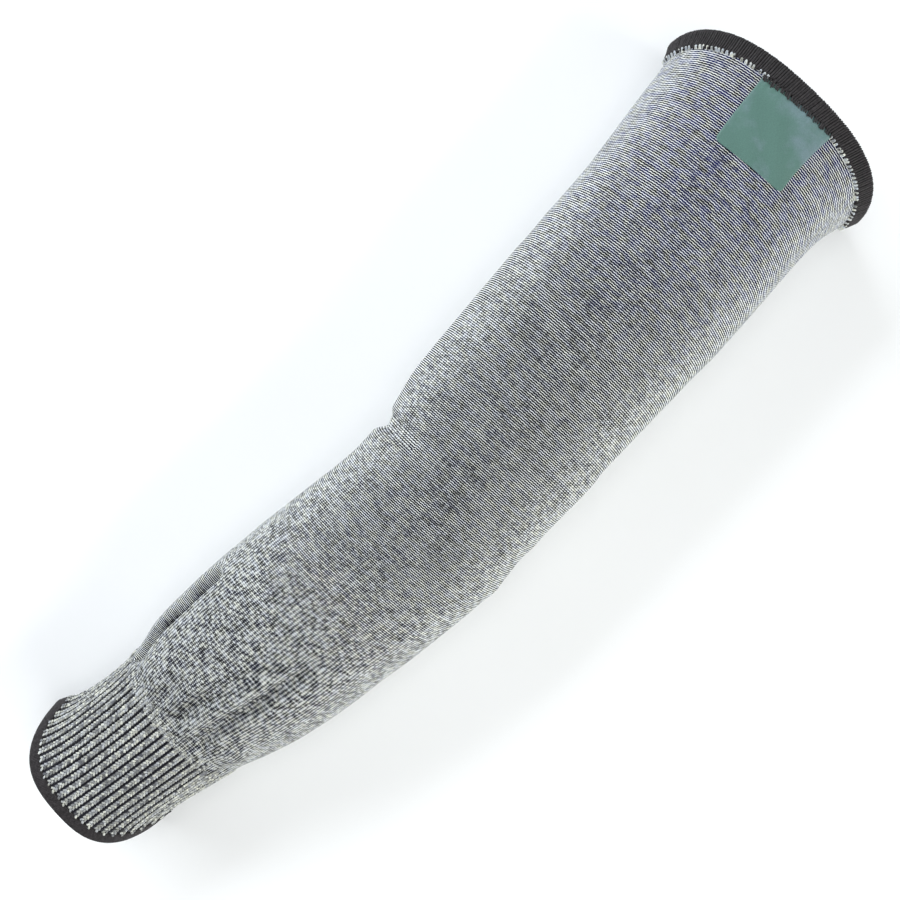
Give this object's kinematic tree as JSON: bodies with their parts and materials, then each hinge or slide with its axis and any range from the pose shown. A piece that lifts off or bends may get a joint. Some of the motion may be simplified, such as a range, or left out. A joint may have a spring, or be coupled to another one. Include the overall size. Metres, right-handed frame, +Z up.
{
  "type": "cut resistant sleeve",
  "caption": "Knitted tube sleeve for the forearm and upper arm, with a ribbed wrist cuff, bound ends and a square label patch.",
  "frame": {"origin": "middle of the sleeve's footprint, on the surface that it lies on", "axes": "+X from the wrist towards the upper arm, +Z up, with the label on the upper side, +Y across the arm"},
  "size_m": [0.4578, 0.1236, 0.0699],
  "materials": {
    "knit": "salt and pepper plain knit, matt",
    "rib": "light rib knit with dark furrows, matt",
    "edging": "charcoal overlocked edge, matt",
    "label": "teal green woven label, satin"
  },
  "bodies": {
    "root": {"arm_tube": "knit", "rib_cuff": "rib", "wrist_binding": "edging", "upper_binding": "edging", "label_patch": "label"}
  },
  "joints": []
}
